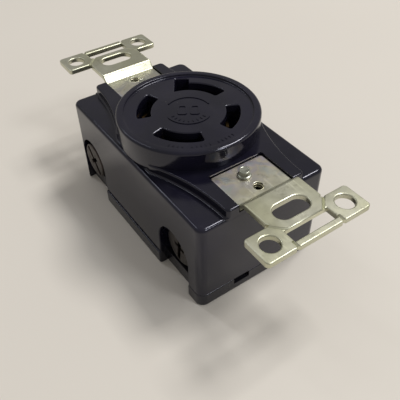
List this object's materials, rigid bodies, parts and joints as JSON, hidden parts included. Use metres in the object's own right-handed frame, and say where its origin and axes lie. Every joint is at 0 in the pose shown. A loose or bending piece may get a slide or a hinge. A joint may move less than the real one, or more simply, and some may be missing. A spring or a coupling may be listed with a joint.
{
  "type": "twist-lock receptacle",
  "caption": "Flush-mount twist-lock power receptacle: round face with curved blade slots on a moulded body, steel mounting brackets and side screw terminals.",
  "frame": {"origin": "on the centre line, midway between the two box-screw slots, in the plane of the backs of the plaster ears (the finished wall)", "axes": "+Z out of the wall towards the plug, +Y along the brackets towards the top end, +X across the terminals"},
  "size_m": [0.0406, 0.1036, 0.0369],
  "materials": {
    "housing_plastic": "glossy moulded, blue-black",
    "base_plastic": "semi-gloss moulded, black",
    "zinc_steel": "zinc plate with pale yellow-green chromate",
    "rivet_steel": "zinc plate, bright",
    "strip_steel": "zinc plate, satin",
    "contact_brass": "rolled brass, satin",
    "spring_steel": "spring steel, satin",
    "clamp_steel": "zinc plate, satin",
    "screw_dark": "darkened brass-plated steel, satin",
    "screw_silver": "dull nickel-plated steel, satin",
    "screw_green": "green lacquered steel"
  },
  "bodies": {
    "receptacle": {"front_housing": "housing_plastic", "back_base": "base_plastic", "strap_top": "zinc_steel", "strap_bottom": "zinc_steel", "rivet_top": "rivet_steel", "rivet_bottom": "rivet_steel", "rivet_washer_top": "rivet_steel", "rivet_washer_bottom": "rivet_steel", "ground_strip": "strip_steel", "contact_x": "contact_brass", "contact_y": "contact_brass", "contact_w": "contact_brass", "contact_g": "contact_brass", "jaw_spring_x": "spring_steel", "jaw_spring_y": "spring_steel", "jaw_spring_w": "spring_steel", "jaw_spring_g": "spring_steel"},
    "clamp_x": {"pressure_plate_x": "clamp_steel"},
    "screw_x": {"terminal_screw_x": "screw_dark"},
    "clamp_y": {"pressure_plate_y": "clamp_steel"},
    "screw_y": {"terminal_screw_y": "screw_dark"},
    "clamp_w": {"pressure_plate_w": "clamp_steel"},
    "screw_w": {"terminal_screw_w": "screw_silver"},
    "clamp_g": {"pressure_plate_g": "clamp_steel"},
    "screw_g": {"terminal_screw_g": "screw_green"}
  },
  "joints": [
    {"name": "clamp_x_slide", "type": "slide", "parent": "receptacle", "child": "clamp_x", "axis": [-1, 0, 0], "range_m": [-0.0037, 0.001]},
    {"name": "screw_x_turn", "type": "hinge", "parent": "clamp_x", "child": "screw_x", "pos_m": [-0.0154, 0.0247, -0.0198], "axis": [-1, 0, 0], "range_deg": [-1678.5, 453.9]},
    {"name": "clamp_y_slide", "type": "slide", "parent": "receptacle", "child": "clamp_y", "axis": [1, 0, 0], "range_m": [-0.0019, 0.0028]},
    {"name": "screw_y_turn", "type": "hinge", "parent": "clamp_y", "child": "screw_y", "pos_m": [0.0154, -0.021, -0.0198], "axis": [1, 0, 0], "range_deg": [-862.1, 1270.3]},
    {"name": "clamp_w_slide", "type": "slide", "parent": "receptacle", "child": "clamp_w", "axis": [-1, 0, 0], "range_m": [-0.0019, 0.0028]},
    {"name": "screw_w_turn", "type": "hinge", "parent": "clamp_w", "child": "screw_w", "pos_m": [-0.0154, -0.021, -0.0198], "axis": [-1, 0, 0], "range_deg": [-862.1, 1270.3]},
    {"name": "clamp_g_slide", "type": "slide", "parent": "receptacle", "child": "clamp_g", "axis": [1, 0, 0], "range_m": [-0.0037, 0.001]},
    {"name": "screw_g_turn", "type": "hinge", "parent": "clamp_g", "child": "screw_g", "pos_m": [0.0154, 0.0247, -0.0198], "axis": [1, 0, 0], "range_deg": [-1678.5, 453.9]}
  ],
  "couplings": [
    {"joint": "screw_x_turn", "follows": "clamp_x_slide", "rad_per_m": 7915.8},
    {"joint": "screw_y_turn", "follows": "clamp_y_slide", "rad_per_m": 7915.8},
    {"joint": "screw_w_turn", "follows": "clamp_w_slide", "rad_per_m": 7915.8},
    {"joint": "screw_g_turn", "follows": "clamp_g_slide", "rad_per_m": 7915.8}
  ]
}
